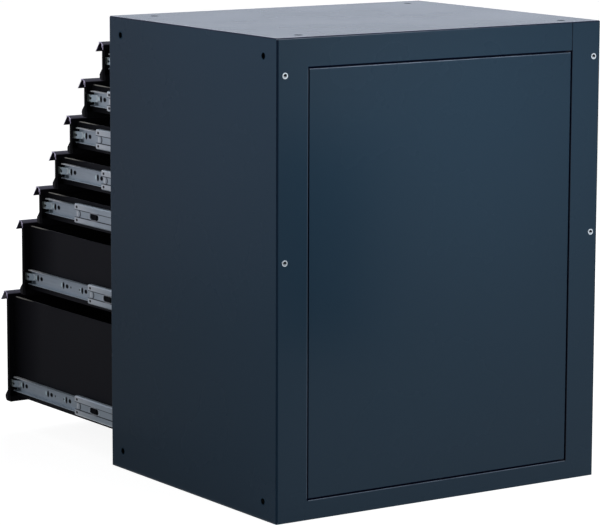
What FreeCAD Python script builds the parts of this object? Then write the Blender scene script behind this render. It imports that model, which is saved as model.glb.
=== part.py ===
"""A workshop drawer cabinet: a sheet-steel carcass with seven drawers on telescopic ball slides.

Millimetres, +Z up. The origin is the middle of the cabinet's base. The drawers open towards -Y,
the back panel faces +Y, and +X is the right side for someone who stands before the drawers.
Each drawer stands open by its own distance, and its slides' middle members stand part way out.
"""

import FreeCAD, Part
import os
import Sketcher
from FreeCAD import Vector

# The driving dimensions: name, millimetres, what it measures
SIZES = [
    ("cabinet_width", 675.0, "outside width of the carcass"),
    ("wall", 1.5, "sheet of the carcass panels"),
    ("bend", 2.8, "outside radius of the carcass bends"),
    ("hem_depth", 12.0, "depth of the folded front edge of a side panel"),
    ("top_margin", 49.5, "cabinet top down to the top of the first handle"),
    ("bottom_margin", 44.5, "height of the front rail under the lowest drawer"),
    ("unit_pitch", 71.6, "height of one drawer unit, with its gap"),
    ("front_gap", 3.0, "gap between a handle and the front above it"),
    ("side_gap", 2.0, "gap between a drawer front and the side panel's hem"),
    ("rail_return", 20.0, "inward flange of the front rails"),
    ("stile_width", 62.0, "rear stile of a side panel"),
    ("rear_top_rail", 50.4, "height of the rear rail of the top panel"),
    ("rear_bottom_rail", 34.2, "height of the rear rail of the bottom panel"),
    ("seam", 0.8, "open seam between the top rail and the left stile"),
    ("back_gap", 2.0, "gap all round the back panel"),
    ("back_inset", 1.0, "back panel behind the face of the stiles"),
    ("back_edge", 1.0, "edge radius of the back panel"),
    ("rebate_lip", 12.0, "lip that the back panel rests on"),
    ("side_flange", 24.0, "flange of the top and bottom panels inside a side panel"),
    ("joining_hole", 10.0, "diameter of the holes in the sides and the top"),
    ("side_hole_front", 39.0, "front edge to the side holes"),
    ("side_hole_rear", 41.0, "rear edge to the side holes"),
    ("side_hole_end", 32.0, "base or top to the side holes"),
    ("top_hole_side", 62.5, "side edge to the top holes"),
    ("top_hole_front", 51.0, "front edge to the top holes"),
    ("top_hole_rear", 32.0, "rear edge to the top holes"),
    ("bolt_side", 15.0, "side edge to the screws in the stiles"),
    ("bolt_upper", 62.0, "cabinet top down to the upper screws"),
    ("bolt_lower", 371.0, "cabinet top down to the lower screws"),
    ("bolt_diameter", 6.0, "thread of the screws"),
    ("bolt_length", 14.0, "length of the screws under the head"),
    ("bolt_head", 10.5, "head diameter of the screws"),
    ("bolt_head_height", 1.4, "head height of the screws"),
    ("bolt_socket", 4.0, "hexagon socket across flats"),
    ("play", 0.05, "play of a pressed, clamped or screwed fit"),
    ("post_sheet", 1.2, "sheet of the slide posts"),
    ("post_depth", 5.3, "depth of a slide post"),
    ("post_width", 58.0, "width of a slide post"),
    ("post_flange", 13.0, "welding flange of a slide post"),
    ("post_setback", 22.0, "front edge of the carcass to the front post"),
    ("post_end", 46.0, "base or top of the carcass to a post's end"),
    ("slide_length", 500.0, "length of a slide, closed"),
    ("slide_setback", 10.0, "slide behind the front of the carcass"),
    ("rear_room", 27.0, "slide's rear end to the rear of the carcass"),
    ("slide_thickness", 12.7, "thickness of a slide"),
    ("slide_height", 45.0, "height of the cabinet member"),
    ("rail_sheet", 1.2, "sheet of the slide members"),
    ("raceway_bevel", 2.0, "bevel along the raceways of the slide members"),
    ("ball_gap", 3.3, "room for the balls between two members"),
    ("web_gap", 0.8, "gap between the webs of two members"),
    ("band_step", 0.9, "depth of the middle member's sunken band"),
    ("band_height", 13.0, "height of the middle member's sunken band"),
    ("band_setback", 6.0, "front end of the sunken band behind the bands beside it"),
    ("lip", 1.3, "hook at the edge of a raceway"),
    ("raceway_edge", 3.2, "open edge of the cabinet member from the drawer"),
    ("middle_edge", 2.4, "open edge of the middle member from the drawer"),
    ("member_cut", 5.0, "middle and drawer members end before the slide does"),
    ("drawer_flange", 9.0, "depth of the drawer member"),
    ("flange_start", 13.0, "drawer member's flanges behind the drawer front"),
    ("tab_reach", 8.4, "face of the tab from the drawer"),
    ("tab_height", 13.0, "height of the tab at the drawer member's front end"),
    ("tab_run", 12.0, "slanted run between the tab and the web"),
    ("tab_hole", 5.0, "hole in the tab"),
    ("tab_hole_set", 12.0, "hole in the tab, behind the drawer front"),
    ("slot_first", 37.0, "first slot of the drawer member behind the drawer front"),
    ("slot_pitch", 96.0, "first slot to the second"),
    ("slot_span", 165.0, "first slot to the last"),
    ("slot_length", 11.0, "length of a slot"),
    ("slot_width", 5.0, "width of a slot"),
    ("hole_after_slot", 13.0, "small hole behind a slot"),
    ("rail_hole", 6.4, "width of the small holes"),
    ("window_set", 69.0, "window of the middle member behind its front end"),
    ("window_length", 31.0, "length of the middle member's window"),
    ("window_height", 11.0, "height of the middle member's window"),
    ("rail_level", 34.8, "slide's middle line above the lower edge of its front"),
    ("front_sheet", 1.0, "sheet of the drawer fronts"),
    ("front_return", 10.0, "depth of the front's end flanges"),
    ("leg_play", 0.3, "a wall clear of the handle's rear leg"),
    ("front_top", 6.5, "top edge of the front's sheet under the handle's top"),
    ("nose_height", 21.0, "height of the bulged nose at the foot of a front"),
    ("nose_break", 11.0, "height where the nose turns upright"),
    ("nose_reach", 9.0, "nose before the face of the front"),
    ("nose_radius", 7.5, "lower radius of the nose"),
    ("nose_shoulder", 4.0, "upper radius of the nose"),
    ("foot_depth", 12.0, "depth of the flange under the front"),
    ("box_sheet", 1.0, "sheet of a drawer box"),
    ("box_rise", 10.0, "drawer box above the lower edge of its front"),
    ("box_drop", 9.8, "edge of the drawer box under the handle's top"),
    ("box_end", 505.0, "rear of the drawer box behind the face of its front"),
    ("hem", 10.0, "height of the folded edge of a drawer box"),
    ("grip_wall", 1.5, "wall of the handle's section"),
    ("grip_reach", 23.0, "handle before the face of the front"),
    ("grip_drop", 18.6, "depth of the handle's lip under its top"),
    ("crest_front", 11.4, "front of the handle's crest before the face"),
    ("crest_rear", 4.0, "rear of the handle's crest before the face"),
    ("crest_nose", 2.0, "height of the crest's edge above the label groove"),
    ("groove", 1.0, "depth of the label groove"),
    ("back_leg", 14.0, "rear leg of the handle under its top"),
    ("back_slope", 5.0, "fall of the handle's rear slope"),
    ("front_leg", 10.0, "leg of the handle before the front's sheet"),
]

# For each drawer from the top: height units, open distance, how far the middle members are out
DRAWERS = [
    (1, 34.0, 8.6),
    (1, 98.6, 34.5),
    (1, 152.0, 74.2),
    (1, 207.7, 56.1),
    (1, 268.5, 153.5),
    (2, 336.4, 107.3),
    (3, 398.8, 158.8),
]


class Size:
    """A length that carries its number and the formula on the sheet that it comes from."""

    def __init__(self, number, formula=None):
        self.number = float(number)
        self.formula = formula or repr(self.number)

    def join(self, other, sign, swapped=False):
        other = size(other)
        first, second = (other, self) if swapped else (self, other)
        numbers = {
            "+": lambda a, b: a + b,
            "-": lambda a, b: a - b,
            "*": lambda a, b: a * b,
            "/": lambda a, b: a / b,
        }
        number = numbers[sign](first.number, second.number)
        return Size(number, f"({first.formula} {sign} {second.formula})")

    def __add__(self, other):
        return self.join(other, "+")

    def __radd__(self, other):
        return self.join(other, "+", swapped=True)

    def __sub__(self, other):
        return self.join(other, "-")

    def __rsub__(self, other):
        return self.join(other, "-", swapped=True)

    def __mul__(self, other):
        return self.join(other, "*")

    def __rmul__(self, other):
        return self.join(other, "*", swapped=True)

    def __truediv__(self, other):
        return self.join(other, "/")

    def __neg__(self):
        return self.join(-1, "*")

    def root(self):
        return Size(self.number**0.5, f"sqrt({self.formula})")


def size(value):
    return value if isinstance(value, Size) else Size(value)


def fill_sheet(doc):
    """Writes the driving dimensions to the sheet and returns them as sizes by name."""
    sheet = doc.addObject("Spreadsheet::Sheet", "Sizes")
    rows = list(SIZES)
    for number, (units, out, middle_out) in enumerate(DRAWERS, start=1):
        rows.append((f"units_{number}", units, f"height units of drawer {number}"))
        rows.append((f"open_{number}", out, f"open distance of drawer {number}"))
        rows.append((f"lead_{number}", middle_out, f"middle members of drawer {number} out by"))
    for row, (name, number, meaning) in enumerate(rows, start=1):
        sheet.set(f"A{row}", meaning)
        sheet.set(f"B{row}", str(number))
        sheet.setAlias(f"B{row}", name)
    doc.recompute()
    return {name: Size(number, f"Sizes.{name}") for name, number, meaning in rows}


doc = FreeCAD.newDocument("drawer_cabinet")
S = fill_sheet(doc)

# Sizes that follow from the driving ones
half_width = S["cabinet_width"] / 2
half_depth = (S["slide_setback"] + S["slide_length"] + S["rear_room"]) / 2
all_units = sum(units for units, out, middle_out in DRAWERS)
height = S["top_margin"] + S["unit_pitch"] * all_units + S["bottom_margin"]
inner_side = half_width - S["wall"]
hem_side = half_width - 2 * S["wall"]
stile_edge = half_width - S["stile_width"]
rebate = S["back_inset"] + S["wall"]
top_rail_foot = height - S["rear_top_rail"]
front_end = hem_side - S["side_gap"]
slide_seat = inner_side - S["post_depth"]
box_side = slide_seat - S["slide_thickness"]
middle_height = S["slide_height"] - 2 * S["rail_sheet"] - 2 * S["ball_gap"]
inner_height = middle_height - 2 * S["rail_sheet"] - 2 * S["ball_gap"]


def bind(thing, name, length):
    """Sets a property and ties it to the sheet."""
    thing.setExpression(name, size(length).formula)


def new_body(label):
    return doc.addObject("PartDesign::Body", label)


def new_sketch(body, plane, offset=0):
    """A sketch on one of the body's own origin planes, moved by offset along the row's axis."""
    sketch = body.newObject("Sketcher::SketchObject", "Outline")
    support = next(part for part in body.Origin.OriginFeatures if part.Role == plane)
    sketch.AttachmentSupport = [(support, "")]
    sketch.MapMode = "FlatFace"
    # the XZ plane's normal points along -Y
    bind(sketch, "AttachmentOffset.Base.z", -size(offset) if plane == "XZ_Plane" else offset)
    return sketch


def hold(sketch, kind, geometry, point, length):
    """Holds a point at a distance from the sketch's origin."""
    length = size(length)
    constraint = Sketcher.Constraint(kind, -1, 1, geometry, point, length.number)
    sketch.setExpression(f"Constraints[{sketch.addConstraint(constraint)}]", length.formula)


def add_polygon(sketch, corners):
    """A closed outline of straight lines, with each corner held in both directions."""
    corners = [(size(u), size(v)) for u, v in corners]
    first = sketch.GeometryCount
    for (u0, v0), (u1, v1) in zip(corners, corners[1:] + corners[:1]):
        start = Vector(u0.number, v0.number, 0)
        sketch.addGeometry(Part.LineSegment(start, Vector(u1.number, v1.number, 0)), False)
    for number, (u, v) in enumerate(corners):
        following = first + (number + 1) % len(corners)
        sketch.addConstraint(Sketcher.Constraint("Coincident", first + number, 2, following, 1))
        hold(sketch, "DistanceX", first + number, 1, u)
        hold(sketch, "DistanceY", first + number, 1, v)


def add_rectangle(sketch, u0, v0, u1, v1):
    add_polygon(sketch, [(u0, v0), (u1, v0), (u1, v1), (u0, v1)])


def add_circle(sketch, u, v, diameter):
    radius = size(diameter) / 2
    centre = Vector(size(u).number, size(v).number, 0)
    number = sketch.addGeometry(Part.Circle(centre, Vector(0, 0, 1), radius.number), False)
    hold(sketch, "DistanceX", number, 3, u)
    hold(sketch, "DistanceY", number, 3, v)
    constraint = Sketcher.Constraint("Radius", number, radius.number)
    sketch.setExpression(f"Constraints[{sketch.addConstraint(constraint)}]", radius.formula)


def add_opening(sketch, u, v, length, width, along_u=True):
    """An eight-sided hole or slot, the plain form of the slides' many small openings."""
    half = size(width) / 2
    reach = (size(length) - size(width)) / 2
    corner = half * (size(2).root() - 1)
    quarter = [(reach + half, corner), (reach + corner, half)]
    corners = quarter + [(-a, b) for a, b in reversed(quarter)]
    corners += [(-a, -b) for a, b in corners]
    if not along_u:
        corners = [(b, a) for a, b in corners]
    add_polygon(sketch, [(u + a, v + b) for a, b in corners])


def pad(body, sketch, length, reverse=False):
    """Extrudes the sketch. On the XZ plane, reverse=True runs along +Y."""
    feature = body.newObject("PartDesign::Pad", "Pad")
    feature.Profile = sketch
    feature.Reversed = reverse
    bind(feature, "Length", length)
    return feature


def cut_through(body, sketch):
    """Cuts the sketch through everything, both ways."""
    feature = body.newObject("PartDesign::Pocket", "Cut")
    feature.Profile = sketch
    feature.Type = "ThroughAll"
    feature.Midplane = True
    return feature


def cut(body, sketch, depth, reverse=False):
    feature = body.newObject("PartDesign::Pocket", "Cut")
    feature.Profile = sketch
    feature.Reversed = reverse
    bind(feature, "Length", depth)
    return feature


def round_edges(body, radius, wanted):
    """Rounds the edges whose middle points satisfy wanted."""
    doc.recompute()
    base = body.Tip
    names = []
    for number, edge in enumerate(base.Shape.Edges, start=1):
        middle = edge.valueAt((edge.FirstParameter + edge.LastParameter) / 2)
        if wanted(middle, edge):
            names.append(f"Edge{number}")
    feature = body.newObject("PartDesign::Fillet", "Round")
    feature.Base = (base, names)
    bind(feature, "Radius", radius)
    return feature


def near(value, length):
    return abs(value - size(length).number) < 1e-4


def long_x(edge):
    """True for an edge that runs along X."""
    box = edge.BoundBox
    return box.YLength < 1e-4 and box.ZLength < 1e-4


def mirror_to_left(source, label):
    """The piece for the left side."""
    piece = doc.addObject("Part::Mirroring", label)
    piece.Source = source
    piece.Normal = Vector(1, 0, 0)
    return piece


def keep_inside(source, envelope, label):
    """The part of a panel that lies inside the rounded envelope of the carcass."""
    piece = doc.addObject("Part::Common", label)
    piece.Base = source
    piece.Tool = envelope
    return piece


def make_pair(right, left, label, y, z):
    """A node of two like pieces, right and left, at one place."""
    pair = doc.addObject("Part::Compound", label)
    pair.Links = [right, left]
    bind(pair, "Placement.Base.y", y)
    bind(pair, "Placement.Base.z", z)
    return pair


def make_envelope():
    """The outside of the carcass, with its bends rounded."""
    body = new_body("carcass_envelope")
    sketch = new_sketch(body, "XY_Plane")
    add_rectangle(sketch, -half_width, -half_depth, half_width, half_depth)
    pad(body, sketch, height)

    def outer_bend(point, edge):
        return edge.BoundBox.ZLength > 1 or near(point.z, height)

    round_edges(body, S["bend"], outer_bend)
    return body


def make_side_panel():
    """The right side: hemmed front edge, side wall, rear stile, and the rebate for the back."""
    body = new_body("side_sheet")
    sketch = new_sketch(body, "XY_Plane")
    lip_edge = stile_edge - S["rebate_lip"]
    lip_front = half_depth - rebate - S["wall"]
    add_polygon(
        sketch,
        [
            (half_width, -half_depth),
            (half_width, half_depth),
            (stile_edge, half_depth),
            (stile_edge, half_depth - rebate),
            (lip_edge, half_depth - rebate),
            (lip_edge, lip_front),
            (stile_edge + S["wall"], lip_front),
            (stile_edge + S["wall"], half_depth - S["wall"]),
            (inner_side, half_depth - S["wall"]),
            (inner_side, S["hem_depth"] - half_depth),
            (hem_side, S["hem_depth"] - half_depth),
            (hem_side, -half_depth),
        ],
    )
    pad(body, sketch, height - S["wall"])
    # the rebate stops where the rear rails begin
    ends = new_sketch(body, "XZ_Plane", half_depth - S["wall"])
    left, right = lip_edge - S["wall"], stile_edge + S["wall"]
    add_rectangle(ends, left, -S["wall"], right, S["rear_bottom_rail"])
    add_rectangle(ends, left, top_rail_foot, right, height)
    cut(body, ends, 2 * rebate, reverse=True)
    # the holes by which cabinets are joined side by side
    holes = new_sketch(body, "YZ_Plane")
    for level in (S["side_hole_end"], height - S["side_hole_end"]):
        add_circle(holes, S["side_hole_front"] - half_depth, level, S["joining_hole"])
        add_circle(holes, half_depth - S["side_hole_rear"], level, S["joining_hole"])
    cut_through(body, holes)
    bolts = new_sketch(body, "XZ_Plane")
    for drop in ("bolt_upper", "bolt_lower"):
        bore = S["bolt_diameter"] + 2 * S["play"]
        add_circle(bolts, half_width - S["bolt_side"], height - S[drop], bore)
    cut_through(body, bolts)
    return body


def add_side_flanges(body, low, high):
    """The two flanges that a top or bottom panel is welded to the side panels by."""
    sketch = new_sketch(body, "XY_Plane", low)
    front = S["hem_depth"] - half_depth
    rear = half_depth - S["wall"]
    add_rectangle(sketch, hem_side, front, inner_side, rear)
    add_rectangle(sketch, -inner_side, front, -hem_side, rear)
    pad(body, sketch, high - low)


def add_rail(body, corners, left, right):
    """A rail of the carcass: a section across Y and Z, run from left to right."""
    sketch = new_sketch(body, "YZ_Plane", left)
    add_polygon(sketch, corners)
    pad(body, sketch, right - left)


def make_top_panel():
    """The top: a plate with front and rear rails and two side flanges folded down."""
    body = new_body("top_sheet")
    wall = S["wall"]
    under = height - wall
    plate = new_sketch(body, "XY_Plane", under)
    add_rectangle(plate, -half_width, -half_depth, half_width, half_depth)
    pad(body, plate, wall)
    foot = height - S["top_margin"] + S["front_gap"]
    front = -half_depth
    front_rail = [
        (front, under),
        (front, foot),
        (front + S["rail_return"], foot),
        (front + S["rail_return"], foot + wall),
        (front + wall, foot + wall),
        (front + wall, under),
    ]
    add_rail(body, front_rail, -hem_side, hem_side)
    rear = half_depth
    rear_rail = [
        (rear - wall, under),
        (rear, under),
        (rear, top_rail_foot),
        (rear - rebate - wall, top_rail_foot),
        (rear - rebate - wall, top_rail_foot + wall),
        (rear - wall, top_rail_foot + wall),
    ]
    add_rail(body, rear_rail, S["seam"] - stile_edge, stile_edge)
    lip = [
        (rear - rebate - wall, top_rail_foot + wall),
        (rear - rebate, top_rail_foot + wall),
        (rear - rebate, top_rail_foot - S["rebate_lip"]),
        (rear - rebate - wall, top_rail_foot - S["rebate_lip"]),
    ]
    lip_edge = stile_edge - S["rebate_lip"]
    add_rail(body, lip, -lip_edge, lip_edge)
    add_side_flanges(body, height - S["side_flange"], under)
    top_holes = new_sketch(body, "XY_Plane", under)
    for u in (S["top_hole_side"] - half_width, half_width - S["top_hole_side"]):
        add_circle(top_holes, u, S["top_hole_front"] - half_depth, S["joining_hole"])
        add_circle(top_holes, u, half_depth - S["top_hole_rear"], S["joining_hole"])
    cut(body, top_holes, 2 * wall, reverse=True)
    return body


def make_bottom_panel():
    """The base: a tray with front and rear rails and two side flanges folded up."""
    body = new_body("bottom_sheet")
    wall = S["wall"]
    front, rear = -half_depth, half_depth
    notch = front + S["hem_depth"]
    floor = new_sketch(body, "XY_Plane")
    add_polygon(
        floor,
        [
            (-hem_side, front),
            (hem_side, front),
            (hem_side, notch),
            (inner_side, notch),
            (inner_side, rear - wall),
            (stile_edge, rear - wall),
            (stile_edge, rear),
            (-stile_edge, rear),
            (-stile_edge, rear - wall),
            (-inner_side, rear - wall),
            (-inner_side, notch),
            (-hem_side, notch),
        ],
    )
    pad(body, floor, wall)
    head = S["bottom_margin"]
    front_rail = [
        (front, wall),
        (front + wall, wall),
        (front + wall, head - wall),
        (front + S["rail_return"], head - wall),
        (front + S["rail_return"], head),
        (front, head),
    ]
    add_rail(body, front_rail, -hem_side, hem_side)
    head = S["rear_bottom_rail"]
    rear_rail = [
        (rear, wall),
        (rear, head),
        (rear - rebate - wall, head),
        (rear - rebate - wall, head - wall),
        (rear - wall, head - wall),
        (rear - wall, wall),
    ]
    add_rail(body, rear_rail, -stile_edge, stile_edge)
    lip = [
        (rear - rebate - wall, head - wall),
        (rear - rebate, head - wall),
        (rear - rebate, head + S["rebate_lip"]),
        (rear - rebate - wall, head + S["rebate_lip"]),
    ]
    lip_edge = stile_edge - S["rebate_lip"]
    add_rail(body, lip, -lip_edge, lip_edge)
    add_side_flanges(body, wall, S["side_flange"])
    return body


def make_back_panel():
    """The back: a sheet let into the rebate, with a gap all round."""
    body = new_body("back_panel")
    side = stile_edge - S["back_gap"]
    sketch = new_sketch(body, "XZ_Plane", half_depth - S["back_inset"])
    low = S["rear_bottom_rail"] + S["back_gap"]
    add_rectangle(sketch, -side, low, side, top_rail_foot - S["back_gap"])
    pad(body, sketch, S["wall"])

    def outer_edge(point, edge):
        return near(point.y, half_depth - S["back_inset"])

    round_edges(body, S["back_edge"], outer_edge)
    return body


def make_posts():
    """The right-hand posts that carry the slides: two hat sections, front and rear."""
    body = new_body("slide_posts_right")
    sheet = S["post_sheet"]
    sketch = new_sketch(body, "XY_Plane", S["post_end"])
    front = S["post_setback"] - half_depth
    rear = S["slide_setback"] + S["slide_length"] - half_depth - S["post_width"]
    for start in (front, rear):
        end = start + S["post_width"]
        step_in = start + S["post_flange"]
        step_out = end - S["post_flange"]
        add_polygon(
            sketch,
            [
                (inner_side, start),
                (inner_side, step_in),
                (slide_seat + sheet, step_in),
                (slide_seat + sheet, step_out),
                (inner_side, step_out),
                (inner_side, end),
                (inner_side - sheet, end),
                (inner_side - sheet, step_out + sheet),
                (slide_seat, step_out + sheet),
                (slide_seat, step_in - sheet),
                (inner_side - sheet, step_in - sheet),
                (inner_side - sheet, start),
            ],
        )
    pad(body, sketch, height - 2 * S["post_end"])
    return body


def make_bolt():
    """A low-head screw with a hexagon socket, at the rear face of the stiles."""
    body = new_body("bolt")
    for diameter, length, outward in (
        (S["bolt_head"], S["bolt_head_height"], True),
        (S["bolt_diameter"], S["bolt_length"], False),
    ):
        sketch = new_sketch(body, "XZ_Plane", half_depth)
        add_circle(sketch, 0, 0, diameter)
        pad(body, sketch, length, reverse=outward)
    socket = new_sketch(body, "XZ_Plane", half_depth + S["bolt_head_height"])
    add_hexagon(socket, S["bolt_socket"])
    cut(body, socket, S["bolt_socket"] / 2, reverse=True)
    return body


def add_hexagon(sketch, across):
    """A hexagon about the origin, points to the sides."""
    flat = size(across) / 2
    point = flat * 2 / Size(3).root()
    corners = [(point, 0), (point / 2, flat), (-point / 2, flat)]
    add_polygon(sketch, corners + [(-u, -v) for u, v in corners])


def repeat_in_stiles(source, label):
    """One piece at each of the four screw places."""
    group = doc.addObject("Part::Compound", label)
    places = []
    for side in (1, -1):
        for drop in ("bolt_upper", "bolt_lower"):
            place = doc.addObject("Part::Compound", f"{label}_place")
            place.Links = [source]
            bind(place, "Placement.Base.x", side * (half_width - S["bolt_side"]))
            bind(place, "Placement.Base.z", height - S[drop])
            places.append(place)
    group.Links = places
    return group


def bevel_inside(bevel):
    """The bevel of a bent sheet's inner corner, for the bevel of its outer one."""
    return bevel - S["rail_sheet"] * (2 - size(2).root())


def rail_section(body, upper_half, length, start):
    """A slide member: its section's upper half, mirrored down, run back from start."""
    sketch = new_sketch(body, "XZ_Plane", start)
    outline = [(box_side + out, up) for out, up in upper_half]
    lower_half = [(u, -v) for u, v in reversed(outline)]
    add_polygon(sketch, outline + lower_half)
    pad(body, sketch, length, reverse=True)


def make_cabinet_rail():
    """The right cabinet member: a C section, open towards the drawer."""
    body = new_body("cabinet_rail")
    sheet = S["rail_sheet"]
    top = S["slide_height"] / 2
    web = S["slide_thickness"]
    edge = S["raceway_edge"]
    hook = top - sheet - S["lip"]
    bevel = S["raceway_bevel"]
    inner_bevel = bevel_inside(bevel)
    upper_half = [
        (web, top - bevel),
        (web - bevel, top),
        (edge, top),
        (edge, hook),
        (edge + sheet, hook),
        (edge + sheet, top - sheet),
        (web - sheet - inner_bevel, top - sheet),
        (web - sheet, top - sheet - inner_bevel),
    ]
    rail_section(body, upper_half, S["slide_length"], S["slide_setback"])
    return body


def make_middle_rail():
    """The right middle member: a C section with a sunken band along its web."""
    body = new_body("middle_rail")
    sheet = S["rail_sheet"]
    top = middle_height / 2
    face = S["slide_thickness"] - sheet - S["web_gap"]
    band = S["band_height"] / 2
    edge = S["middle_edge"]
    hook = top - sheet - S["lip"]
    sunk = face - S["band_step"]
    bevel = S["raceway_bevel"]
    inner_bevel = bevel_inside(bevel)
    upper_half = [
        (sunk, band),
        (face, band),
        (face, top - bevel),
        (face - bevel, top),
        (edge, top),
        (edge, hook),
        (edge + sheet, hook),
        (edge + sheet, top - sheet),
        (face - sheet - inner_bevel, top - sheet),
        (face - sheet, top - sheet - inner_bevel),
        (face - sheet, band + sheet),
        (sunk - sheet, band + sheet),
    ]
    start = S["slide_setback"]
    rail_section(body, upper_half, S["slide_length"] - S["member_cut"], start)
    openings = new_sketch(body, "YZ_Plane", box_side)
    add_rectangle(openings, start - sheet, -band, start + S["band_setback"], band)
    length, opening = S["window_length"], S["window_height"]
    add_opening(openings, start + S["window_set"], 0, length, opening)
    cut(body, openings, S["slide_thickness"], reverse=True)
    return body


def make_drawer_rail():
    """The right drawer member: a C section open outwards, with a raised tab at its front."""
    body = new_body("drawer_rail")
    sheet = S["rail_sheet"]
    top = inner_height / 2
    depth = S["drawer_flange"]
    start = S["flange_start"]
    upper_half = [
        (0, top - sheet),
        (sheet, top),
        (depth, top),
        (depth, top - sheet),
        (sheet, top - sheet),
    ]
    rail_section(body, upper_half, S["box_end"] - start, start)
    # the web gives way behind the tab, which stands out from it
    half_tab = S["tab_height"] / 2
    opening = new_sketch(body, "YZ_Plane", box_side)
    ramp_end = start + S["tab_run"]
    add_rectangle(opening, 0, -half_tab, ramp_end, half_tab)
    cut(body, opening, 2 * sheet, reverse=True)
    tab = new_sketch(body, "XY_Plane", -half_tab)
    face = box_side + S["tab_reach"]
    add_polygon(
        tab,
        [
            (face, S["front_sheet"]),
            (face, start),
            (box_side + sheet, ramp_end + sheet),
            (box_side, ramp_end + sheet),
            (box_side, ramp_end - sheet),
            (face - sheet, start - sheet),
            (face - sheet, S["front_sheet"]),
        ],
    )
    pad(body, tab, S["tab_height"])
    holes = new_sketch(body, "YZ_Plane", box_side)
    add_opening(holes, S["tab_hole_set"], 0, S["tab_hole"], S["tab_hole"])
    for behind in (size(0), S["slot_pitch"], S["slot_span"]):
        set_back = S["slot_first"] + behind
        add_opening(holes, set_back, 0, S["slot_length"], S["slot_width"], along_u=False)
        set_back = set_back + S["hole_after_slot"]
        add_opening(holes, set_back, 0, S["rail_hole"], S["rail_hole"])
    cut(body, holes, S["slide_thickness"], reverse=True)
    return body


def make_handle():
    """The handle: an extruded section over the whole top edge of a drawer front.

    Its local origin is the face of the front, at the level of the handle's top.
    """
    body = new_body("handle_section")
    wall = S["grip_wall"]
    crest = S["crest_front"]
    rear_leg = S["front_sheet"] + S["box_sheet"] + S["play"]
    lip_front = S["grip_reach"]
    corners = [
        (-crest, -wall / 3),
        (-S["crest_rear"], 0),
        (rear_leg + wall, -S["back_slope"]),
        (rear_leg + wall, -S["back_leg"]),
        (rear_leg, -S["back_leg"]),
        (rear_leg, -S["front_top"]),
        (0, -S["front_top"]),
        (0, -S["front_leg"]),
        (-wall, -S["front_leg"]),
        (-wall, -wall - S["back_slope"] / 2),
        (-S["crest_rear"], -wall),
        (wall - crest + S["groove"], -wall - S["groove"]),
        (wall - lip_front, -S["grip_drop"]),
        (-lip_front, -S["grip_drop"]),
        (S["groove"] - crest, -S["crest_nose"] - S["groove"]),
        (-crest, -S["crest_nose"]),
    ]
    sketch = new_sketch(body, "YZ_Plane", -front_end)
    add_polygon(sketch, corners)
    pad(body, sketch, 2 * front_end)
    return body


def make_front(units, label):
    """A drawer front: one folded sheet with a bulged nose, closed at its ends.

    Its local origin is the face of the front, at the front's lower edge.
    """
    body = new_body(label)
    sheet = S["front_sheet"]
    top = units * S["unit_pitch"] - S["front_gap"] - S["front_top"]
    steepness = (S["nose_height"] - S["nose_break"]) / S["nose_reach"]
    # how much lower the inner corner of a bend of that steepness lies
    miter = ((1 + steepness * steepness).root() - steepness) * sheet
    reach = S["nose_reach"]
    foot = S["foot_depth"]
    rise = S["box_rise"]
    outside = [
        (0, top),
        (0, S["nose_height"]),
        (-reach, S["nose_break"]),
        (-reach, 0),
        (foot, 0),
        (foot, rise),
    ]
    inside = [
        (foot - sheet, rise),
        (foot - sheet, sheet),
        (sheet - reach, sheet),
        (sheet - reach, S["nose_break"] - miter),
        (sheet, S["nose_height"] - miter),
        (sheet, top),
    ]
    sketch = new_sketch(body, "YZ_Plane", -front_end)
    add_polygon(sketch, outside + inside)
    pad(body, sketch, 2 * front_end)
    # the end flanges close the nose and stiffen the front
    flange_top = top + S["front_top"] - S["back_leg"] - S["leg_play"]
    flange = [(foot, rise), (S["front_return"], rise), (S["front_return"], flange_top)]
    for left in (-front_end, front_end - sheet):
        end = new_sketch(body, "YZ_Plane", left)
        add_polygon(end, [(0, flange_top)] + outside[1:5] + flange)
        pad(body, end, sheet)

    def lower_bend(point, edge):
        return long_x(edge) and near(point.y, -reach) and near(point.z, 0)

    def shoulder(point, edge):
        return long_x(edge) and near(point.y, -reach) and near(point.z, S["nose_break"])

    def inner_bend(point, edge):
        return long_x(edge) and near(point.y, sheet - reach) and near(point.z, sheet)

    round_edges(body, S["nose_radius"], lower_bend)
    round_edges(body, S["nose_shoulder"], shoulder)
    round_edges(body, S["nose_radius"] - sheet, inner_bend)
    return body


def make_box(units, label):
    """A drawer box: a folded tray with hemmed sides and rear.

    Its local origin is that of the drawer front.
    """
    body = new_body(label)
    sheet = S["box_sheet"]
    start = S["front_sheet"]
    end = S["box_end"]
    top = units * S["unit_pitch"] - S["front_gap"] - S["box_drop"]
    low = S["box_rise"]
    floor = new_sketch(body, "XY_Plane", low)
    add_rectangle(floor, -box_side, start, box_side, end)
    pad(body, floor, sheet)
    walls = new_sketch(body, "XY_Plane", low)
    add_rectangle(walls, -box_side, start, box_side, end)
    add_rectangle(walls, sheet - box_side, start + sheet, box_side - sheet, end - sheet)
    pad(body, walls, top - low)
    # the side walls give way to the handle's rear leg
    leg_end = start + sheet + S["play"] + S["grip_wall"] + S["leg_play"]
    notch = new_sketch(body, "YZ_Plane")
    leg_foot = top + S["box_drop"] - S["back_leg"] - S["leg_play"]
    add_rectangle(notch, start + sheet, leg_foot, leg_end, top + sheet)
    cut_through(body, notch)
    # the upper edges are folded inwards, flat on the walls
    hem = new_sketch(body, "XY_Plane", top - S["hem"])
    fold = 2 * sheet
    add_polygon(
        hem,
        [
            (-box_side, leg_end),
            (fold - box_side, leg_end),
            (fold - box_side, end - fold),
            (box_side - fold, end - fold),
            (box_side - fold, leg_end),
            (box_side, leg_end),
            (box_side, end),
            (-box_side, end),
        ],
    )
    pad(body, hem, S["hem"])
    return body


nodes = []


def add_node(piece, label):
    piece.Label = label
    nodes.append(piece)


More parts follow.
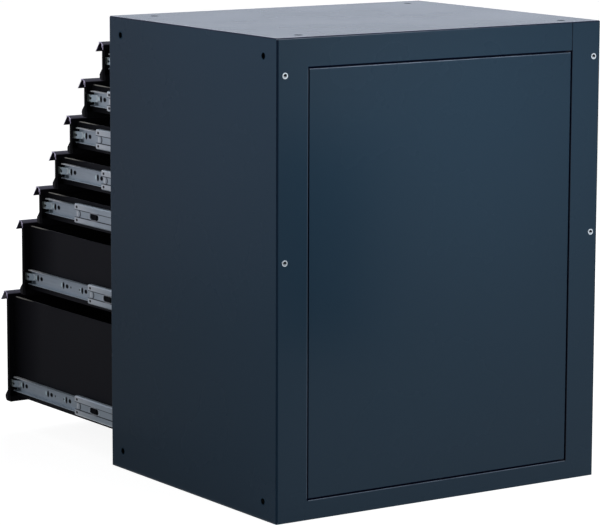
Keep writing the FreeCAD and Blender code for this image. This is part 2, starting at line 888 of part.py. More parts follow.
def build_carcass():
    envelope = make_envelope()
    side = keep_inside(make_side_panel(), envelope, "side_panel_right")
    add_node(side, "side_panel_right")
    add_node(mirror_to_left(side, "side_panel_left"), "side_panel_left")
    add_node(keep_inside(make_top_panel(), envelope, "top_panel"), "top_panel")
    add_node(keep_inside(make_bottom_panel(), envelope, "bottom_panel"), "bottom_panel")
    add_node(make_back_panel(), "back_panel")
    posts = make_posts()
    add_node(posts, "slide_posts_right")
    add_node(mirror_to_left(posts, "slide_posts_left"), "slide_posts_left")
    add_node(repeat_in_stiles(make_bolt(), "back_bolts"), "back_bolts")


def build_drawers():
    members = {}
    makers = {
        "cabinet_rails": make_cabinet_rail,
        "middle_rails": make_middle_rail,
        "drawer_rails": make_drawer_rail,
    }
    for kind, make in makers.items():
        right = make()
        members[kind] = (right, mirror_to_left(right, f"{kind}_left_piece"))
    handle = make_handle()
    above = size(0)
    for number in range(1, len(DRAWERS) + 1):
        units = S[f"units_{number}"]
        handle_top = height - S["top_margin"] - above * S["unit_pitch"]
        above = above + units
        foot = handle_top - units * S["unit_pitch"] + S["front_gap"]
        closed = -half_depth
        out = {
            "cabinet_rails": size(0),
            "middle_rails": S[f"lead_{number}"],
            "drawer_rails": S[f"open_{number}"],
        }
        for kind, (right, left) in members.items():
            label = f"drawer_{number}_{kind}".replace("drawer_rails", "rails")
            y = closed - out[kind]
            add_node(make_pair(right, left, label, y, foot + S["rail_level"]), label)
        y = closed - S[f"open_{number}"]
        grip = doc.addObject("Part::Compound", f"drawer_{number}_handle")
        grip.Links = [handle]
        pieces = [
            (grip, handle_top),
            (make_front(units, f"drawer_{number}_front"), foot),
            (make_box(units, f"drawer_{number}_box"), foot),
        ]
        for piece, z in pieces:
            bind(piece, "Placement.Base.y", y)
            bind(piece, "Placement.Base.z", z)
            add_node(piece, piece.Name)


def check_document():
    """Stops if any object failed, or a node is empty or not valid."""
    for thing in doc.Objects:
        if "Invalid" in thing.State or "Error" in thing.State:
            raise RuntimeError(f"{thing.Name} ({thing.Label}) is {thing.State}")
    for piece in nodes:
        if piece.Shape.isNull() or not piece.Shape.isValid() or not piece.Shape.Solids:
            raise RuntimeError(f"{piece.Label} has no valid solid")


def write_steps():
    os.makedirs("parts", exist_ok=True)
    for piece in nodes:
        piece.Shape.exportStep(f"parts/{piece.Label}.step")
        box = piece.Shape.BoundBox
        count = len(piece.Shape.Solids)
        corners = [box.XMin, box.XMax, box.YMin, box.YMax, box.ZMin, box.ZMax]
        print(piece.Label, count, *(round(value, 2) for value in corners))


build_carcass()
build_drawers()
doc.recompute()
check_document()
write_steps()
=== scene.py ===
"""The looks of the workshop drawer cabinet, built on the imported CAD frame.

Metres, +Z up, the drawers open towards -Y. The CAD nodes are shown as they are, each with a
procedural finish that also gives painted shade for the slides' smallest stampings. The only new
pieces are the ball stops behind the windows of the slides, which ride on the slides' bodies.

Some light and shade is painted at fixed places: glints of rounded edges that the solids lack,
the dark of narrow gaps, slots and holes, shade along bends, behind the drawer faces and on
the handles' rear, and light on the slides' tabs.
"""

import math

import bpy
from mathutils import Matrix, Vector


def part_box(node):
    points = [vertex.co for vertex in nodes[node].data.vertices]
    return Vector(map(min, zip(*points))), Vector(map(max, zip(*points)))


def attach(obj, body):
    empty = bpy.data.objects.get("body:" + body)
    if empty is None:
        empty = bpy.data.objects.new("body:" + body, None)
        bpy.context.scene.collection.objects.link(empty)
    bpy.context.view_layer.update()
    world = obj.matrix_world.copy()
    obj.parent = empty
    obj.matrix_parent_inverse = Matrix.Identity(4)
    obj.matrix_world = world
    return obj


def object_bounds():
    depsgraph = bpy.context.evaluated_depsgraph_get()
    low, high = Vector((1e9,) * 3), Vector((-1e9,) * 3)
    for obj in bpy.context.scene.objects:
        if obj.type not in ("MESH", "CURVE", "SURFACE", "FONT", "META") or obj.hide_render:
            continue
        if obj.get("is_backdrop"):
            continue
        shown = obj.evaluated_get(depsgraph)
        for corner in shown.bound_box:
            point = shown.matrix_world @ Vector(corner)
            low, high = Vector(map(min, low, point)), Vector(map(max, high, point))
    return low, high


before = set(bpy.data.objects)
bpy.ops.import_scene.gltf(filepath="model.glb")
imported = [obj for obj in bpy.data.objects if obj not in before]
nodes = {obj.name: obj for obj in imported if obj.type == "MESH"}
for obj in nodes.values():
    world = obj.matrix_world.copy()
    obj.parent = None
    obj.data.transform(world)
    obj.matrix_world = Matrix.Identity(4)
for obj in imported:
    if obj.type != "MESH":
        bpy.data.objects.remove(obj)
cad_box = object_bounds()
scene = bpy.context.scene

MM = 0.001
DRAWERS = range(1, 8)

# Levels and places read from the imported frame
CABINET_LOW, CABINET_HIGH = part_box("side_panel_right")
CABINET_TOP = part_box("top_panel")[1].z
FRONT_Y = CABINET_LOW.y
BACK_Y = CABINET_HIGH.y
SIDE_X = CABINET_HIGH.x
PANEL_LOW, PANEL_HIGH = (corner.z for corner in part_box("back_panel"))
SEAM_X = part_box("back_panel")[1].x
RAIL_EDGE = PANEL_LOW - 2 * MM
FRONT_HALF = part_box("drawer_1_front")[1].x
GRIP_REACH = 23 * MM
BOLT_HEAD = 10.5 * MM

# The joining holes: their radius, and their places from the front, rear, ends and sides
HOLE_RADIUS = 5 * MM
SIDE_HOLES_Y = (FRONT_Y + 39 * MM, BACK_Y - 41 * MM)
SIDE_HOLES_END = 32 * MM
TOP_HOLES_Y = (FRONT_Y + 51 * MM, BACK_Y - 32 * MM)
TOP_HOLES_X = SIDE_X - 62.5 * MM

# The slides: the level of the lowest, the pitch of the levels, the faces of the middle
# members' webs, and half the height over a drawer member's flanges in millimetres
RAILS_LOW, RAILS_HIGH = (corner.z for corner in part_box("drawer_7_rails"))
SLIDE_LEVEL = (RAILS_LOW + RAILS_HIGH) / 2
SLIDE_PITCH = 71.6 * MM
MIDDLE_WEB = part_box("drawer_1_middle_rails")[1].x
FLANGE_TOP = (RAILS_HIGH - RAILS_LOW) / 2 / MM

# Places along the slides, in millimetres behind the front end of their member
WINDOW = 69
SLOT_PLACES = (37, 133, 202)

# Colours of the carcass: the paint, then the painted shade and highlights laid over it
NAVY = (0.016, 0.038, 0.066)
NAVY_CLOUDS = (0.0145, 0.0355, 0.061), (0.0172, 0.041, 0.07)
NAVY_BEND_SHADE = (0.003, 0.0085, 0.02)
NAVY_SHADE = (0.007, 0.015, 0.038)
TOP_GLINT = (0.56, 0.6, 0.76)
RAIL_GLINT = (0.3, 0.34, 0.42)
GAP_GLINT = (0.24, 0.29, 0.38)
GAP_SHADE = (0.0005, 0.0015, 0.0075)
HOLE_SHADE = (0.0008, 0.001, 0.0016)

# Colours of the drawers, slides and screws, with the painted shade and highlights laid over them
BLACK = (0.006, 0.0064, 0.008)
BLACK_CLOUDS = (0.0045, 0.0052, 0.0078), (0.0072, 0.008, 0.0115)
SHADOW_BLACK = (0.0012, 0.0012, 0.0018)
HEM_HIGHLIGHT = (0.36, 0.35, 0.33)
GRIP_BLACK = (0.02, 0.017, 0.032)
GRIP_LINES = (0.021, 0.018, 0.032), (0.036, 0.031, 0.053)
GRIP_SHADOW = (0.002, 0.0018, 0.003)
SAWN_METAL = (0.62, 0.58, 0.78)
ZINC = (0.42, 0.455, 0.5)
ZINC_GRAIN = (0.335, 0.405, 0.47), (0.43, 0.505, 0.58)
ZINC_HIGHLIGHT = (0.85, 0.88, 0.92)
TAB_PAINTED_LIGHT = (0.85, 1.0, 1.0)
SLOT_GLINT = (0.75, 0.95, 1.0)
HOLLOW_SHADE = (0.004, 0.005, 0.008)
STEP_SHADE = (0.06, 0.11, 0.15)
SCREW = (0.66, 0.74, 0.82)
PLASTIC = (0.003, 0.0035, 0.005)
PLASTIC_GRAIN = (0.002, 0.0025, 0.004), (0.005, 0.006, 0.008)


class Signal:
    """A number or colour that varies over a surface, with Python's operators."""

    def __init__(self, finish, socket):
        self.finish = finish
        self.socket = socket

    def maths(self, operation, *others):
        node = self.finish.node("ShaderNodeMath", {"operation": operation}, self, *others)
        return Signal(self.finish, node.outputs[0])

    def __add__(self, other):
        return self.maths("ADD", other)

    def __sub__(self, other):
        return self.maths("SUBTRACT", other)

    def __rsub__(self, other):
        return self.maths("MULTIPLY", -1.0).maths("ADD", other)

    def __mul__(self, other):
        return self.maths("MULTIPLY", other)

    def __truediv__(self, other):
        return self.maths("DIVIDE", other)

    def __abs__(self):
        return self.maths("ABSOLUTE")

    def clamp(self):
        return self.maths("MINIMUM", 1.0).maths("MAXIMUM", 0.0)

    def max(self, other):
        return self.maths("MAXIMUM", other)

    def min(self, other):
        return self.maths("MINIMUM", other)

    def past(self, place):
        """Millimetres past a place along an axis."""
        return (self - place) / MM

    def before(self, place):
        """Millimetres before a place along an axis."""
        return (place - self) / MM

    def fade(self, start, end):
        """0 before start, 1 after end, straight between them; start may be the larger."""
        return ((self - start) / (end - start)).clamp()


class Finish:
    """A material: a Principled shader and the nodes that feed it.

    Its tone is the colour so far. It becomes the shader's colour when it is set.
    """

    def __init__(self, name, colour, roughness, metallic=0.0):
        self.material = bpy.data.materials.new(name)
        self.material.use_nodes = True
        self.material.diffuse_color = (*colour, 1)
        self.tree = self.material.node_tree
        self.shader = self.tree.nodes["Principled BSDF"]
        self.set("Base Color", (*colour, 1))
        self.set("Roughness", roughness)
        self.set("Metallic", metallic)
        self.position = self.node("ShaderNodeTexCoord").outputs["Object"]
        parts = self.node("ShaderNodeSeparateXYZ", {}, self.position)
        self.x, self.y, self.z = (Signal(self, out) for out in parts.outputs)
        self.outward = abs(self.x)
        self.tone = colour

    def node(self, kind, settings=None, *values, **named):
        """A node with its settings, then values or links for its sockets."""
        node = self.tree.nodes.new(kind)
        for setting, value in (settings or {}).items():
            setattr(node, setting, value)
        for key, value in [*enumerate(values), *named.items()]:
            self.feed(node.inputs[key], value)
        return node

    def feed(self, socket, value):
        if isinstance(value, Signal):
            self.tree.links.new(value.socket, socket)
        elif isinstance(value, bpy.types.NodeSocket):
            self.tree.links.new(value, socket)
        else:
            socket.default_value = value

    def set(self, name, value):
        self.feed(self.shader.inputs[name], value)

    def noise(self, scale, detail=2.0, stretch=(1, 1, 1)):
        """Soft noise between 0 and 1; stretch squeezes it along X, Y and Z."""
        place = self.position
        if stretch != (1, 1, 1):
            settings = {"operation": "MULTIPLY"}
            place = self.node("ShaderNodeVectorMath", settings, place, stretch).outputs[0]
        node = self.node("ShaderNodeTexNoise", {}, Vector=place, Scale=scale, Detail=detail)
        return Signal(self, node.outputs["Fac"])

    def mix(self, factor, first, second):
        """Blends two colours by a signal."""
        node = self.node("ShaderNodeMix", {"data_type": "RGBA"}, Factor=factor)
        for key, value in ((6, first), (7, second)):
            if isinstance(value, tuple):
                value = (*value, 1)
            self.feed(node.inputs[key], value)
        return Signal(self, node.outputs[2])

    def tint(self, mask, colour):
        """Lays a colour over the tone where a mask is 1."""
        self.tone = self.mix(mask, self.tone, colour)

    def bump(self, height, distance, strength):
        """Relief from a signal; the distance is in millimetres."""
        settings = {"Height": height, "Distance": distance * MM, "Strength": strength}
        self.set("Normal", self.node("ShaderNodeBump", {}, **settings).outputs["Normal"])

    def spot(self, along, up, centre, radii):
        """1 inside an ellipse in the plane of two signals, fading over its rim."""
        first = (along - centre[0]) / radii[0]
        second = (up - centre[1]) / radii[1]
        distance = (first * first + second * second).maths("SQRT")
        return distance.fade(1.15, 0.85)


# Finishes


class CarcassPaint(Finish):
    """Anthracite blue powder coat, semi-matt with a very fine orange peel.

    It has painted shade along the bends and in a band under the top's edges, painted black shade
    inside the gap round the back panel and in the joining holes, and painted highlights on the
    edges that catch the light. Its measures are in millimetres: in from the rear, from the sides
    and from the top, and out from the back panel's edges.
    """

    def __init__(self):
        super().__init__("carcass_paint", NAVY, 0.3)
        self.depth = self.y.before(BACK_Y)
        self.inward = self.outward.before(SIDE_X)
        self.down = self.z.before(CABINET_TOP)
        self.over = self.z.past(PANEL_HIGH)
        self.under = self.z.before(PANEL_LOW)
        self.beside = self.outward.past(SEAM_X)
        self.near_rear = self.depth.fade(3.4, 2.6)
        self.near_side = self.inward.fade(3.4, 2.6)
        self.patchy = self.noise(30.0, 3.0, (1, 1, 0.2)).fade(0.25, 0.75) * 0.5 + 0.4

    def gap(self):
        """The gap round the back panel and the edges facing it, where black shade is painted."""
        inside = self.beside.fade(3.4, 2.8) * self.under.fade(3.4, 2.8)
        inside = inside * self.over.fade(3.4, 2.8)
        beyond = self.beside.fade(0, 0.3).max(self.x.past(SEAM_X).fade(-0.9, -0.6))
        beyond = beyond.max(self.over.fade(-0.8, -0.6)).max(self.under.fade(1.6, 1.9))
        sunk = self.depth.fade(1.15, 1.35).max(beyond) * self.depth.fade(40, 30)
        return inside * sunk

    def gap_glints(self):
        """Painted highlights under the panel's top edge, on the rail below it and on one stile.
        """
        rims = []
        for edge in (PANEL_HIGH, RAIL_EDGE):
            below = self.z.before(edge)
            rims.append(below.fade(2.2, 1.8) * below.fade(0.6, 0.8))
        across = rims[0] * (self.x.fade(-0.3, 0.1) * 0.5 + 0.5) + rims[1] * 0.65
        aside = self.x.past(SEAM_X)
        stile = aside.fade(2.6, 2.9) * aside.fade(4.6, 4)
        stile = stile * self.under.fade(0, -2) * self.over.fade(0, -2)
        lines = across * self.beside.fade(1, 0) + stile * 0.25
        return lines * self.depth.fade(1.3, 1.1)

    def seam(self):
        """The joint of the stile and the top's rail, above the gap's far corner."""
        aside = self.x.before(-SEAM_X)
        seam = aside.fade(3.2, 3.0) * aside.fade(1.2, 1.4)
        return seam * self.over.fade(1, 2) * self.down.fade(2, 3) * self.near_rear

    def holes(self, margin, depth=-1):
        """The joining holes to a margin past their rims, from a depth under the skin."""
        radius = HOLE_RADIUS + margin * MM
        radii = (radius, radius)
        middle = CABINET_TOP / 2
        height = middle - abs(self.z - middle)
        skin = (depth - 0.1, depth + 0.1)
        side = self.inward.fade(5, 4) * self.inward.fade(*skin)
        top = self.down.fade(5, 4) * self.down.fade(*skin)
        total = 0.0
        for place in SIDE_HOLES_Y:
            centre = (place, SIDE_HOLES_END)
            total = self.spot(self.y, height, centre, radii) * side + total
        for place in TOP_HOLES_Y:
            centre = (TOP_HOLES_X, place)
            total = self.spot(self.outward, self.y, centre, radii) * top + total
        return total.clamp()

    def finish(self):
        bend = self.near_rear * self.near_side
        rim = self.near_side.max(self.near_rear)
        gap = self.gap()
        # A painted highlight line under the top's rear edge
        rail_line = self.down.fade(3.2, 2.9) * self.down.fade(1.8, 2.1)
        rail_line = rail_line * self.near_rear * self.x.fade(-0.25, 0.25)
        self.tone = self.mix(self.noise(2.2, 3.0), *NAVY_CLOUDS)
        # Painted shade along the corner bends, stronger towards the top
        self.tint(bend * (self.z.fade(0, 0.7) * 0.55 + 0.4), NAVY_BEND_SHADE)
        # Painted shade in a band under the top's edges, then a painted highlight on the edges
        # themselves
        self.tint(rim * self.down.fade(2.8, 2), NAVY_SHADE)
        self.tint(rim * self.down.fade(0.5, 0.2), TOP_GLINT)
        # Painted black shade inside the gap round the back panel
        self.tint(gap, GAP_SHADE)
        # Painted highlights on the edges that face the gap
        self.tint(self.gap_glints() * self.patchy, GAP_GLINT)
        self.tint(rail_line * self.patchy * 0.7, RAIL_GLINT)
        # Painted black shade in the joining holes and on a thin ring round their rims
        self.tint(self.holes(0.4), HOLE_SHADE)
        # The joint's dark line, in the colour of the gap's painted shade
        self.tint(self.seam() * 0.7, GAP_SHADE)
        self.set("Base Color", self.tone)
        self.set("Specular IOR Level", 0.12)
        # Full metallic keeps most of the gap and the holes' walls black: painted shade
        unlit = gap * self.x.past(-SEAM_X).fade(8, 12)
        self.set("Metallic", unlit.max(self.holes(0.4, 0.4)))
        satin = self.noise(6.0, 4.0) * 0.06 + 0.24
        self.set("Roughness", satin.max(bend).max(self.holes(2.5)))
        self.bump(self.noise(1100.0) * 0.7 + self.noise(380.0, 1.0) * 0.3, 0.03, 0.4)
        return self.material


def drawer_face(number):
    """The face of a drawer's front: the crest and the nose stand out before it."""
    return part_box(f"drawer_{number}_handle")[0].y + GRIP_REACH


def drawer_paint(number):
    """Black powder coat with a fine grain, with a painted highlight along the hems of the box.

    It has painted shade close behind the face, under the handle, and on the front's ends;
    the face itself is glossier.
    """
    finish = Finish(f"drawer_paint_{number}", BLACK, 0.5)
    behind = finish.y.past(drawer_face(number))
    inward = finish.outward.before(FRONT_HALF)
    below = finish.z.before(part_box(f"drawer_{number}_box")[1].z)
    back_of_face = behind.fade(0.6, 1.4)
    shadow = behind.fade(110, 10) * back_of_face
    ends = inward.fade(1.2, 0.6) * 0.7
    hem = below.fade(1.6, 1.0) * behind.fade(9, 13)
    finish.tone = finish.mix(finish.noise(3.0, 3.0), *BLACK_CLOUDS)
    # Painted shadow behind the face and on the front's ends; full metallic keeps the ends black
    finish.tint(shadow * 0.85, SHADOW_BLACK)
    finish.tint(ends, SHADOW_BLACK)
    # A painted highlight along the hems, fading towards the back
    finish.tint(hem * behind.fade(80, 45) * 0.9, HEM_HIGHLIGHT)
    finish.set("Base Color", finish.tone)
    finish.set("Specular IOR Level", 0.06)
    finish.set("Metallic", ends)
    finish.set("Coat Roughness", 0.32)
    finish.set("Coat Weight", (1 - back_of_face) * inward.fade(0, 2) * 0.45)
    grain = finish.noise(9.0, 3.0) * 0.08 + 0.46
    finish.set("Roughness", grain + shadow * 0.4)
    finish.bump(finish.noise(1400.0), 0.05, 0.5)
    return finish.material


def handle_aluminium(number):
    """Black anodised extrusion with fine drawing lines, and bright sawn ends.

    Its rear below the crest has painted shade.
    """
    finish = Finish(f"handle_aluminium_{number}", GRIP_BLACK, 0.42, 0.5)
    low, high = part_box(f"drawer_{number}_handle")
    lines = finish.noise(700.0, 2.0, (0.02, 1, 1))
    sawn = finish.outward.before(high.x).fade(0.4, 0.2)
    # Painted shade on the rear below the crest, kept black by metallic
    under = finish.z.before(high.z).fade(3, 6.5) * finish.y.past(low.y).fade(8, 12)
    shade = under * (1 - sawn) * 0.9
    finish.tone = finish.mix(lines, *GRIP_LINES)
    finish.tint(shade, GRIP_SHADOW)
    finish.tint(sawn, SAWN_METAL)
    finish.set("Base Color", finish.tone)
    finish.set("Metallic", shade * 0.5 + 0.5)
    finish.set("Roughness", lines * 0.1 + shade * 0.4 + 0.36)
    finish.bump(lines, 0.04, 0.4)
    return finish.material


class Zinc(Finish):
    """Bright zinc plating with a faint grain along the rolling direction.

    On a slide, behind is the distance behind a front end and above is the height over the
    slide's middle line, both in millimetres.
    """

    def __init__(self, name, front_end):
        super().__init__(name, ZINC, 0.4, 0.4)
        self.grain = self.noise(260.0, 4.0, (1, 0.05, 1))
        self.cloud = self.noise(45.0, 4.0)
        blend = (self.grain * 0.6 + self.cloud * 0.4).fade(0.3, 0.7)
        self.tone = self.mix(blend, *ZINC_GRAIN)
        self.behind = self.y.past(front_end)
        level = (self.z - (SLIDE_LEVEL - SLIDE_PITCH / 2)).maths("FLOORED_MODULO", SLIDE_PITCH)
        self.above = level.past(SLIDE_PITCH / 2)
        self.unlit = 0.0

    def darken(self, mask):
        """Painted shade: black, without gloss."""
        self.tint(mask, HOLLOW_SHADE)
        self.unlit = mask.max(self.unlit)

    def mark(self, place, level, length, height):
        """1 inside an ellipse on the slide."""
        return self.spot(self.behind, self.above, (place, level), (length / 2, height / 2))

    def line(self, level, height):
        """1 along a line of a height, fading past its edges."""
        return abs(self.above - level).fade(height * 0.7, height * 0.3)

    def finish(self):
        self.set("Base Color", self.tone)
        self.set("Metallic", self.unlit * 0.6 + 0.4)
        self.set("Roughness", self.cloud * 0.2 + 0.3)
        self.bump(self.grain, 0.03, 0.5)
        return self.material


def middle_zinc(number):
    """A middle member: its sunken band, pressed ball stops and the rim of its window.

    The band's steps, its front end and the ball stops have painted shade; the band's front end,
    its borders and the window's rim have painted highlights.
    """
    zinc = Zinc(f"middle_zinc_{number}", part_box(f"drawer_{number}_middle_rails")[0].y)
    web = zinc.outward.before(MIDDLE_WEB).fade(1.4, 1.1)
    # Painted shade along the steps of the sunken band
    for side in (-1, 1):
        zinc.darken(zinc.line(side * 6.6, 1.5) * web * 0.95)
    # A painted highlight at the band's front end
    zinc.tint(zinc.behind.fade(13, 11) * zinc.line(0, 10) * web * 0.5, ZINC_HIGHLIGHT)
    # Painted shade at the band's front end
    band_end = zinc.mark(15.5, 0, 12, 13) - zinc.mark(12, 0, 11.5, 13)
    zinc.darken(band_end.clamp() * web * 0.9)
    # Painted highlights along the band's borders, fading to the back
    borders = abs(zinc.above).fade(7.4, 8.2)
    zinc.tint(borders * zinc.behind.fade(80, 4) * web * 0.45, ZINC_HIGHLIGHT)
    # Painted shade for the pressed ball stops
    for side in (-1, 1):
        zinc.darken(zinc.mark(8, side * 12, 6.6, 4.8) * web)
    # A painted highlight on the window's rim
    rim = zinc.mark(WINDOW, 0, 37, 15) - zinc.mark(WINDOW, 0, 33, 12)
    zinc.tint(rim.clamp() * web * 0.4, ZINC_HIGHLIGHT)
    return zinc.finish()


def drawer_zinc(number):
    """A drawer member: its slots, holes and dimples, and the tab with its ramp.

    Slots, holes and dimples have painted black shade, and the tab painted light and shade;
    painted highlights lie beside the slots, on the ramp and along the top flange's edge.
    """
    zinc = Zinc(f"drawer_zinc_{number}", drawer_face(number))
    for place in SLOT_PLACES:
        # A painted highlight before the slot, and painted black shade in the slot and the dot
        # behind it
        strength = 1.0 if place == SLOT_PLACES[0] else 0.65
        zinc.tint(zinc.mark(place - 7, 0, 5.6, 8) * strength, SLOT_GLINT)
        zinc.darken(zinc.mark(place + 0.5, 0, 7.4, 12.4))
        zinc.darken(zinc.mark(place + 13.6, 0, 10.4, 8))
    # Two more small dark marks of painted shade
    zinc.darken(zinc.mark(160.6, 0, 4.4, 4.4) * 0.9)
    zinc.darken(zinc.mark(192.5, 0, 6, 4) * 0.7)
    # Painted shade on the web below the tab
    lower_web = zinc.behind.fade(15, 17) * zinc.behind.fade(30, 27) * zinc.above.fade(-4, -8)
    zinc.darken(lower_web * 0.6)
    # Painted light on the tab, which lies in shadow behind the front
    zinc.tint(zinc.behind.fade(13, 7) * zinc.line(0, 20), TAB_PAINTED_LIGHT)
    # A painted highlight on the ramp behind the tab
    ramp = zinc.mark(22.5, 0, 9, 12) - zinc.mark(20, 0, 8.5, 12)
    zinc.tint(ramp.clamp() * 0.5, ZINC_HIGHLIGHT)
    # Painted shade on the step behind the tab
    step = zinc.behind.fade(10, 13) * zinc.behind.fade(29, 25)
    zinc.tint(step * zinc.line(0, 26) * 0.42, STEP_SHADE)
    # Painted black shade in the tab's hole
    zinc.darken(zinc.mark(9.4, 0, 5, 5) * 0.6)
    # A painted highlight along the top flange's edge, fading to the back
    edge = zinc.above.fade(FLANGE_TOP - 1.3, FLANGE_TOP - 0.8)
    zinc.tint(edge * zinc.behind.fade(90, 50) * 0.8, ZINC_HIGHLIGHT)
    return zinc.finish()


def screw_steel():
    """Bright zinc plating; painted black shade in the socket, with a painted glint at its foot.
    """
    finish = Finish("screw_steel", (0.75, 0.77, 0.8), 0.3, 0.5)
    low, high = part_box("back_bolts")
    across = BOLT_HEAD / 2
    middle = (low.z + high.z) / 2
    column = finish.outward.past(high.x - across)
    upper = finish.z.past(high.z - across)
    lower = finish.z.past(low.z + across)
    radius = (column * column + (upper * upper).min(lower * lower)).maths("SQRT")
    upper_row = finish.z.fade(middle - MM, middle + MM)
    rise = upper * upper_row + lower * (1 - upper_row)
    socket = radius.fade(3.6, 3.2)
    glint = socket * rise.fade(-0.6, -1.6) * radius.fade(3.4, 2.8)
    # Painted black shade in the socket, kept black by metallic, and a painted highlight at its
    # foot
    finish.tone = finish.mix(socket, SCREW, HOLLOW_SHADE)
    finish.tint(glint * 0.8, SCREW)
    finish.set("Base Color", finish.tone)
    finish.set("Metallic", socket * (1 - glint) * 0.5 + 0.5)
    finish.set("Roughness", finish.noise(500.0) * 0.15 + 0.25)
    return finish.material


def stop_plastic():
    """Black moulded plastic with a fine grain."""
    finish = Finish("stop_plastic", PLASTIC, 0.55)
    finish.set("Base Color", finish.mix(finish.noise(90.0), *PLASTIC_GRAIN))
    finish.set("Specular IOR Level", 0.03)
    finish.bump(finish.noise(900.0), 0.04, 0.5)
    return finish.material


def paint_node(name, material):
    mesh = nodes[name].data
    mesh.materials.clear()
    mesh.materials.append(material)


CARCASS_NODES = [
    "side_panel_right",
    "side_panel_left",
    "top_panel",
    "bottom_panel",
    "back_panel",
    "slide_posts_right",
    "slide_posts_left",
]

carcass = CarcassPaint().finish()
for name in CARCASS_NODES:
    paint_node(name, carcass)
paint_node("back_bolts", screw_steel())
plain_zinc = Zinc("cabinet_zinc", FRONT_Y).finish()
for number in DRAWERS:
    black = drawer_paint(number)
    paint_node(f"drawer_{number}_box", black)
    paint_node(f"drawer_{number}_front", black)
    paint_node(f"drawer_{number}_handle", handle_aluminium(number))
    paint_node(f"drawer_{number}_rails", drawer_zinc(number))
    paint_node(f"drawer_{number}_middle_rails", middle_zinc(number))
    paint_node(f"drawer_{number}_cabinet_rails", plain_zinc)


# New pieces: the ball stops, seen through the windows of the middle members


def make_piece(name, corners, faces, material):
    mesh = bpy.data.meshes.new(name)
    mesh.from_pydata(corners, [], faces)
    mesh.materials.append(material)
    piece = bpy.data.objects.new(name, mesh)
    scene.collection.objects.link(piece)
    return piece


def make_block(name, low, high, material):
    """A plain block between two corners."""
    spans = list(zip(low, high))
    corners = [(x, y, z) for x in spans[0] for y in spans[1] for z in spans[2]]
    faces = [(0, 1, 3, 2), (4, 6, 7, 5), (0, 4, 5, 1), (2, 3, 7, 6), (0, 2, 6, 4), (1, 5, 7, 3)]
    return make_piece(name, corners, faces, material)


def add_ball_stops(number, material):
    low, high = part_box(f"drawer_{number}_middle_rails")
    level = (low.z + high.z) / 2
    inner, outer = MIDDLE_WEB - 3.6 * MM, MIDDLE_WEB - 2.4 * MM
    front, rear = low.y + (WINDOW - 15) * MM, low.y + (WINDOW + 6) * MM
    for side, hand in ((1, "right"), (-1, "left")):
        first = (min(side * inner, side * outer), front, level - 6 * MM)
        second = (max(side * inner, side * outer), rear, level + 6 * MM)
        block = make_block(f"ball_stop_{number}_{hand}", first, second, material)
        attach(block, f"slide_{number}")


stops = stop_plastic()
for number in DRAWERS:
    add_ball_stops(number, stops)


# Stage: floor, world, cards and lamps

WORLD_LIGHT = 0.15
FLOOR_GLOW = 0.9
FLOOR_REACH = 30.0
FLOOR_LEVEL = -0.5 * MM
MAT_LEVEL = 1 * MM


def background_rays(tree):
    """1 for rays that see the background, straight or in a gloss or glass; else 0."""
    rays = tree.nodes.new("ShaderNodeLightPath")
    total = rays.outputs["Is Camera Ray"]
    for name in ("Is Glossy Ray", "Is Transmission Ray"):
        larger = tree.nodes.new("ShaderNodeMath")
        larger.operation = "MAXIMUM"
        tree.links.new(total, larger.inputs[0])
        tree.links.new(rays.outputs[name], larger.inputs[1])
        total = larger.outputs[0]
    return total


def make_plane(name, corners, material):
    plane = make_piece(name, corners, [(0, 1, 2, 3)], material)
    plane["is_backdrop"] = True
    return plane


def level_corners(low, high, level):
    """The corners of a level rectangle between two of them."""
    ring = ((low[0], low[1]), (high[0], low[1]), (high[0], high[1]), (low[0], high[1]))
    return [(x, y, level) for x, y in ring]


def make_floor():
    """Pale, and shining where the background is seen."""
    material = bpy.data.materials.new("floor_white")
    material.use_nodes = True
    tree = material.node_tree
    shader = tree.nodes["Principled BSDF"]
    shader.inputs["Base Color"].default_value = (0.35, 0.35, 0.35, 1)
    shader.inputs["Roughness"].default_value = 0.9
    shader.inputs["Emission Color"].default_value = (1, 1, 1, 1)
    glow = tree.nodes.new("ShaderNodeMath")
    glow.operation = "MULTIPLY"
    tree.links.new(background_rays(tree), glow.inputs[0])
    glow.inputs[1].default_value = FLOOR_GLOW
    tree.links.new(glow.outputs[0], shader.inputs["Emission Strength"])
    low, high = (-FLOOR_REACH, -FLOOR_REACH), (FLOOR_REACH, FLOOR_REACH)
    make_plane("floor", level_corners(low, high, FLOOR_LEVEL), material)


def make_world():
    """White wherever the background is seen, and softer as a light."""
    world = bpy.data.worlds.new("studio")
    world.use_nodes = True
    tree = world.node_tree
    background = tree.nodes["Background"]
    strength = tree.nodes.new("ShaderNodeMix")
    tree.links.new(background_rays(tree), strength.inputs["Factor"])
    strength.inputs[2].default_value = WORLD_LIGHT
    strength.inputs[3].default_value = 1.0
    tree.links.new(strength.outputs[0], background.inputs["Strength"])
    background.inputs["Color"].default_value = (1, 1, 1, 1)
    scene.world = world


def make_card(name, corners, tone, glow):
    """A studio card that only reflections see; glow is its own brightness."""
    material = bpy.data.materials.new(name)
    material.use_nodes = True
    shader = material.node_tree.nodes["Principled BSDF"]
    shader.inputs["Base Color"].default_value = (*tone, 1)
    shader.inputs["Roughness"].default_value = 1.0
    shader.inputs["Specular IOR Level"].default_value = 0.0
    shader.inputs["Emission Color"].default_value = (*tone, 1)
    shader.inputs["Emission Strength"].default_value = glow
    card = make_plane(name, corners, material)
    card.visible_camera = False
    card.visible_diffuse = False
    card.visible_shadow = False


def add_upright_card(name, centre, facing, size, tone, glow=0.0):
    """An upright card; facing is in degrees from -Y."""
    angle = math.radians(facing)
    along = Vector((math.cos(angle), math.sin(angle), 0)) * size[0] / 2
    rise = Vector((0, 0, size[1] / 2))
    middle = Vector(centre)
    corners = [middle - along - rise, middle + along - rise]
    corners += [middle + along + rise, middle - along + rise]
    make_card(name, corners, tone, glow)


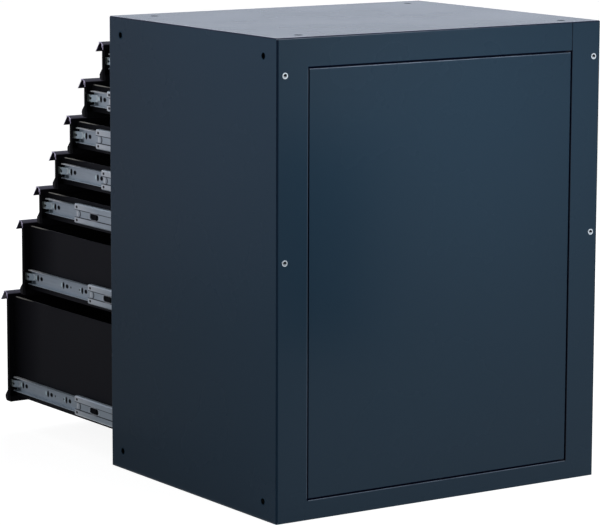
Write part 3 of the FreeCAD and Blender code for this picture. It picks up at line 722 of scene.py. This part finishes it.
def add_mat(name, low, high, tone, glow):
    """A card lying on the floor between two corners."""
    make_card(name, level_corners(low, high, MAT_LEVEL), tone, glow)


def add_lamp(name, place, target, size, watts, in_gloss=True):
    """A soft lamp; in_gloss is whether reflections see it."""
    lamp = bpy.data.lights.new(name, "AREA")
    lamp.shape = "RECTANGLE"
    lamp.size, lamp.size_y = size
    lamp.energy = watts
    thing = bpy.data.objects.new(name, lamp)
    scene.collection.objects.link(thing)
    thing.location = place
    direction = Vector(target) - Vector(place)
    thing.rotation_euler = direction.to_track_quat("-Z", "Y").to_euler()
    thing.visible_camera = False
    thing.visible_glossy = in_gloss


make_floor()
make_world()
add_upright_card("card_behind", (-0.67, -1.0, 1.3), -34.0, (3.2, 2.4), (0.655, 0.7, 0.8), 1.2)
add_upright_card("card_beside", (1.6, -2.1, 1.1), 34.0, (3.6, 2.3), (0.47, 0.44, 0.49), 0.7)
add_mat("mat_beside", (0.34, -2.4), (2.6, 0.5), (0.45, 0.45, 0.47), 0.3)
add_upright_card("card_rear", (-0.18, 0.92, 0.35), 34.0, (0.2, 0.4), (0.02, 0.02, 0.02))
add_lamp("key", (-0.1, 0.77, 0.77), (-0.22, 0.27, 0.42), (0.78, 0.21), 2.45, False)
add_lamp("rear", (-1.0, 4.0, 1.0), (-0.1, 0.27, 0.4), (1.5, 1.5), 29, False)
add_lamp("beside", (1.79, 0.25, 0.99), (0.34, 1.46, 1.55), (1.16, 0.36), 18)
add_lamp("ceiling", (0.0, 0.0, 3.0), (0, 0, 0.4), (2.5, 2.5), 9, False)
add_lamp("front_left", (-1.6, -2.6, 1.8), (0, 0, 0.4), (1.6, 1.2), 45, False)


# Camera, at the photograph's place

CAMERA_AZIMUTH = math.radians(146.0465)
CAMERA_ELEVATION = math.radians(9.1789)
CAMERA_ROLL = math.radians(0.1754)
CAMERA_PLACE = Vector((3.1001, 4.4395, 1.2505))
CAMERA_LENS_MM = 185.53


def make_camera():
    camera = bpy.data.cameras.new("camera")
    camera.sensor_width = 36.0
    camera.sensor_fit = "HORIZONTAL"
    camera.lens = CAMERA_LENS_MM
    camera.clip_end = 100.0
    thing = bpy.data.objects.new("camera", camera)
    scene.collection.objects.link(thing)
    level = math.cos(CAMERA_ELEVATION)
    east, north = math.sin(CAMERA_AZIMUTH) * level, -math.cos(CAMERA_AZIMUTH) * level
    back = Vector((east, north, math.sin(CAMERA_ELEVATION)))
    right = (-back).cross(Vector((0, 0, 1))).normalized()
    up = right.cross(-back)
    turn = Matrix.Rotation(CAMERA_ROLL, 3, back)
    rotation = Matrix((turn @ right, turn @ up, back)).transposed()
    thing.matrix_world = Matrix.Translation(CAMERA_PLACE) @ rotation.to_4x4()
    scene.camera = thing


make_camera()
scene.view_settings.view_transform = "Standard"

bpy.context.view_layer.update()
sizes = {"cad": cad_box, "visual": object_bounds()}
sizes = {key: [list(corner) for corner in corners] for key, corners in sizes.items()}
